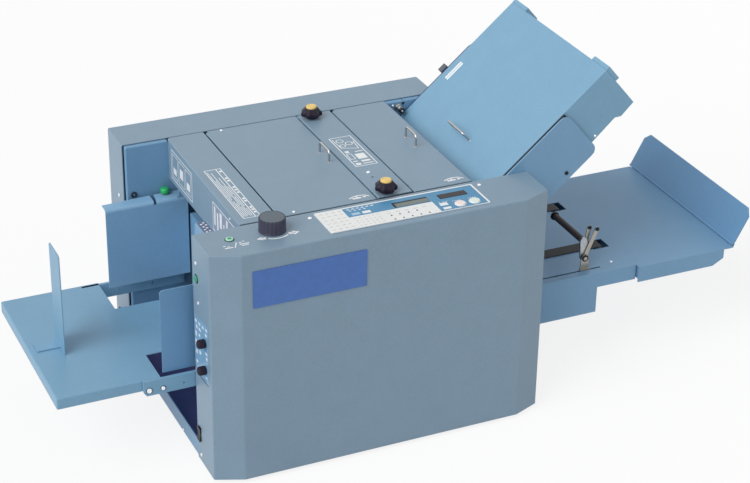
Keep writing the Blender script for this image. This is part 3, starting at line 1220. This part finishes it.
def make_delivery_frame():
    webs = []
    for side, low in (("front", INNER_FRONT), ("rear", INNER_REAR - SHEET)):
        hole = circle(drum_centre(), SHAFT_R + SEAT)
        webs.append(prism(f"delivery_web_{side}", web_outline(), "Y", low, low + SHEET, holes=[hole]))
    openings = [rectangle((SLOT_LEFT, SLOT_Y - SLOT_WIDTH / 2), (SLOT_RIGHT, SLOT_Y + SLOT_WIDTH / 2))]
    for y in (FRONT_BELT_Y, REAR_BELT_Y):
        half = BELT_WIDTH / 2 + BELT_SIDE_GAP
        openings.append(rectangle((BELT_SLOT_LEFT, y - half), (BELT_SLOT_RIGHT, y + half)))
    plan = rectangle((DECK_LEFT, INNER_FRONT), (DECK_RIGHT, INNER_REAR))
    frame = prism("delivery_frame", plan, "Z", DECK_TOP - SHEET, DECK_TOP, MID_BLUE, holes=openings)
    slope = [(CHUTE_HIGH_X, CHUTE_HIGH_Z - SHEET), (CHUTE_LOW_X, DECK_TOP - 2 * SHEET),
             (CHUTE_LOW_X, DECK_TOP - SHEET / 2), (CHUTE_HIGH_X, CHUTE_HIGH_Z - SHEET / 2)]
    chute = prism("delivery_chute", slope, "Y", INNER_FRONT + SHEET / 2, INNER_REAR - SHEET / 2)
    lip_low = DECK_TOP - RAIL_HEIGHT
    front_lip = box("front_lip", (WEB_RIGHT - EXT_TONGUE / 2, INNER_FRONT, lip_low),
                    (DECK_RIGHT, INNER_FRONT + RAIL_LIP, lip_low + SHEET))
    rear_lip = box("rear_lip", (WEB_RIGHT - EXT_TONGUE / 2, INNER_REAR - RAIL_LIP, lip_low),
                   (DECK_RIGHT, INNER_REAR, lip_low + SHEET))
    nose_z = drum_centre()[1]
    nose = rod("nose_bar", NOSE_BAR_R, (BELT_RIGHT_X, INNER_FRONT + SHEET / 2, nose_z),
               (BELT_RIGHT_X, INNER_REAR - SHEET / 2, nose_z))
    join(frame, *webs, chute, front_lip, rear_lip, nose)


def make_delivery_belts():
    x, z = drum_centre()
    inner = DRUM_R + SEAT
    outer = inner + BELT_SHEET
    for name, y in (("delivery_belt_front", FRONT_BELT_Y), ("delivery_belt_rear", REAR_BELT_Y)):
        half = BELT_WIDTH / 2
        prism(name, belt_loop(x, BELT_RIGHT_X, z, outer), "Y", y - half, y + half, BELT_RUBBER,
              holes=[belt_loop(x, BELT_RIGHT_X, z, inner)])
    drum = rod("delivery_roller", DRUM_R, (x, INNER_FRONT + SHEET + ROLLER_CLEAR, z),
               (x, INNER_REAR - SHEET - ROLLER_CLEAR, z), ROLLER_RUBBER)
    join(drum, rod("delivery_shaft", SHAFT_R, (x, FRONT_FRAME_Y - FRAME_SHEET, z),
                   (x, REAR_FRAME_Y + FRAME_SHEET, z), sides=SMALL_SIDES))
    pivot(drum, (x, INNER_FRONT, z))


def extension_side_outline():
    low = EXT_TOP - EXT_WALL
    return [(EXT_LEFT, low), (EXT_RIGHT - EXT_CHAMFER_X, low), (EXT_RIGHT, low + EXT_CHAMFER_Z),
            (EXT_RIGHT, EXT_TOP), (EXT_LEFT, EXT_TOP)]


def make_extension():
    deck = EXT_TOP - SHEET
    lip_low = DECK_TOP - RAIL_HEIGHT + SHEET + SEAT
    extension = box("delivery_extension", (EXT_LEFT, EXT_FRONT, deck), (EXT_RIGHT + EXT_LIP, EXT_REAR, EXT_TOP),
                    MID_BLUE)
    front = prism("extension_front", extension_side_outline(), "Y", EXT_FRONT, EXT_FRONT + SHEET)
    rear = prism("extension_rear", extension_side_outline(), "Y", EXT_REAR - SHEET, EXT_REAR)
    end = box("extension_end", (EXT_RIGHT - SHEET, EXT_FRONT, EXT_TOP - EXT_WALL + EXT_CHAMFER_Z),
              (EXT_RIGHT, EXT_REAR, EXT_TOP))
    riser = box("extension_riser", (EXT_LEFT, EXT_FRONT, lip_low), (EXT_LEFT + SHEET, EXT_REAR, EXT_TOP))
    inner = SHEET + EXT_TONGUE_MARGIN
    tongue = box("extension_tongue", (EXT_LEFT - EXT_TONGUE, INNER_FRONT + inner, lip_low),
                 (EXT_LEFT + SHEET / 2, INNER_REAR - inner, lip_low + SHEET))
    join(extension, front, rear, end, riser, tongue)
    pivot(extension, (EXT_LEFT, INNER_MIDDLE, EXT_TOP))


def make_stop_plate():
    tilt = math.radians(STOP_PLATE_TILT_DEG)
    axis = empty("stop_plate_axis", (STOP_HINGE_X, 0, STOP_HINGE_Z), (0, tilt, 0), MACHINE)
    front = EXT_FRONT + STOP_PLATE_MARGIN
    rear = EXT_REAR + STOP_PLATE_MARGIN
    top = STOP_PLATE_LENGTH
    corner = STOP_PLATE_CHAMFER
    outline = [(front, 0), (rear, 0), (rear, top - corner), (rear - corner, top), (front + corner, top),
               (front, top - corner)]
    plate = prism("stop_plate", outline, "X", -SHEET / 2, SHEET / 2, MID_BLUE, axis)
    join(plate, rod("stop_barrel", STOP_BARREL_R, (0, front, 0), (0, rear, 0), parent=axis, sides=SMALL_SIDES))


def make_press_roller():
    foot_low = DECK_TOP + SEAT
    half = CARRIAGE_WIDTH / 2
    left = CARRIAGE_X - half
    right = CARRIAGE_X + half
    stem_half = SLOT_WIDTH / 2 - SEAT
    plate_front = SLOT_Y - stem_half
    riser_front = SLOT_Y + CARRIAGE_FOOT / 2
    carriage = box("roller_carriage", (left, plate_front, foot_low),
                   (right, riser_front + CARRIAGE_PLATE, foot_low + CARRIAGE_PLATE), BARE_STEEL)
    keeper_high = DECK_TOP - SHEET - SEAT
    keeper = box("carriage_keeper", (left, INNER_FRONT + SHEET + SEAT, keeper_high - CARRIAGE_PLATE),
                 (right, riser_front, keeper_high))
    stem = box("carriage_stem", (left, plate_front, keeper_high - CARRIAGE_PLATE / 2),
               (right, SLOT_Y + stem_half, foot_low + CARRIAGE_PLATE / 2))
    head = arc((CARRIAGE_X, PIVOT_Z), ARM_PLATE_R, 0, 180, SMALL_SIDES // 2)
    riser_outline = [(left, foot_low), (right, foot_low), *head]
    riser = prism("carriage_riser", riser_outline, "Y", riser_front, riser_front + CARRIAGE_PLATE)
    bolt = rod("pivot_bolt", PIVOT_R, (CARRIAGE_X, riser_front - CARRIAGE_PLATE, PIVOT_Z),
               (CARRIAGE_X, riser_front + PRONG_GAP + 2 * CARRIAGE_PLATE, PIVOT_Z), sides=SMALL_SIDES)
    join(carriage, keeper, stem, riser, bolt)
    pivot(carriage, (CARRIAGE_X, SLOT_Y, DECK_TOP))
    arm_front = riser_front + CARRIAGE_PLATE + SEAT
    pivot_hole = circle((CARRIAGE_X, PIVOT_Z), PIVOT_R + SEAT)
    prong = strap((CARRIAGE_X, PIVOT_Z), (PRONG_TOP_X, PRONG_TOP_Z), PRONG_R)
    lever = strap((CARRIAGE_X, PIVOT_Z), (PRESS_X, PRESS_Z), ARM_PLATE_R)
    arm = prism("roller_arm", prong, "Y", arm_front, arm_front + CARRIAGE_PLATE, BARE_STEEL, holes=[pivot_hole])
    rear_low = arm_front + PRONG_GAP
    second = prism("second_prong", prong, "Y", rear_low, rear_low + CARRIAGE_PLATE, holes=[pivot_hole])
    plate = prism("lever_plate", lever, "Y", arm_front, rear_low + CARRIAGE_PLATE, holes=[pivot_hole])
    axle_rear = rear_low + CARRIAGE_PLATE + PRESS_LENGTH + 2 * SEAT + COLLAR_LENGTH
    axle = rod("press_axle", PRESS_AXLE_R, (PRESS_X, rear_low, PRESS_Z), (PRESS_X, axle_rear, PRESS_Z),
               sides=SMALL_SIDES)
    collar = rod("axle_collar", COLLAR_R, (PRESS_X, axle_rear - COLLAR_LENGTH, PRESS_Z),
                 (PRESS_X, axle_rear, PRESS_Z), sides=SMALL_SIDES)
    join(arm, second, plate, axle, collar)
    pivot(arm, (CARRIAGE_X, arm_front, PIVOT_Z))
    tube_front = rear_low + CARRIAGE_PLATE + SEAT
    tube = prism("press_roller", circle((PRESS_X, PRESS_Z), PRESS_R, ROUND_SIDES), "Y", tube_front,
                 tube_front + PRESS_LENGTH, ROLLER_RUBBER,
                 holes=[circle((PRESS_X, PRESS_Z), PRESS_AXLE_R + SEAT)])
    pivot(tube, (PRESS_X, tube_front, PRESS_Z))


def strap(start, end, radius):
    """The outline of a flat bar with round ends, from one centre to another."""
    heading = math.degrees(math.atan2(end[1] - start[1], end[0] - start[0]))
    steps = SMALL_SIDES // 2
    return (arc(end, radius, heading - 90, heading + 90, steps)
            + arc(start, radius, heading + 90, heading + 270, steps))


make_base()
make_side_frames()
make_front_cover()
make_rear_cover()
make_power_inlet()
make_head_cover()
make_lid("left_top_cover", HEAD_RIGHT, LEFT_LID_RIGHT)
make_strip()
make_lid("right_top_cover", STRIP_RIGHT, RIGHT_LID_RIGHT)
make_handle("left_cover_handle", (LEFT_HANDLE_X, LID_HANDLE_Y, BODY_HEIGHT), LID_HANDLE_SPAN)
make_handle("right_cover_handle", (RIGHT_HANDLE_X, LID_HANDLE_Y, BODY_HEIGHT), LID_HANDLE_SPAN)
make_star_knob("star_knob_front", STAR_FRONT_Y)
make_star_knob("star_knob_rear", STAR_REAR_Y)
make_dial()
make_buttons()
make_air_knobs()
make_power_switch()
make_panel()
make_feed_table()
make_end_stop()
make_side_guides()
make_feed_guide()
make_suction_head()
make_blower()
make_fold_rollers()
make_lower_plate()
make_motor()
make_upper_plate()
make_brackets()
make_delivery_frame()
make_delivery_belts()
make_extension()
make_stop_plate()
make_press_roller()
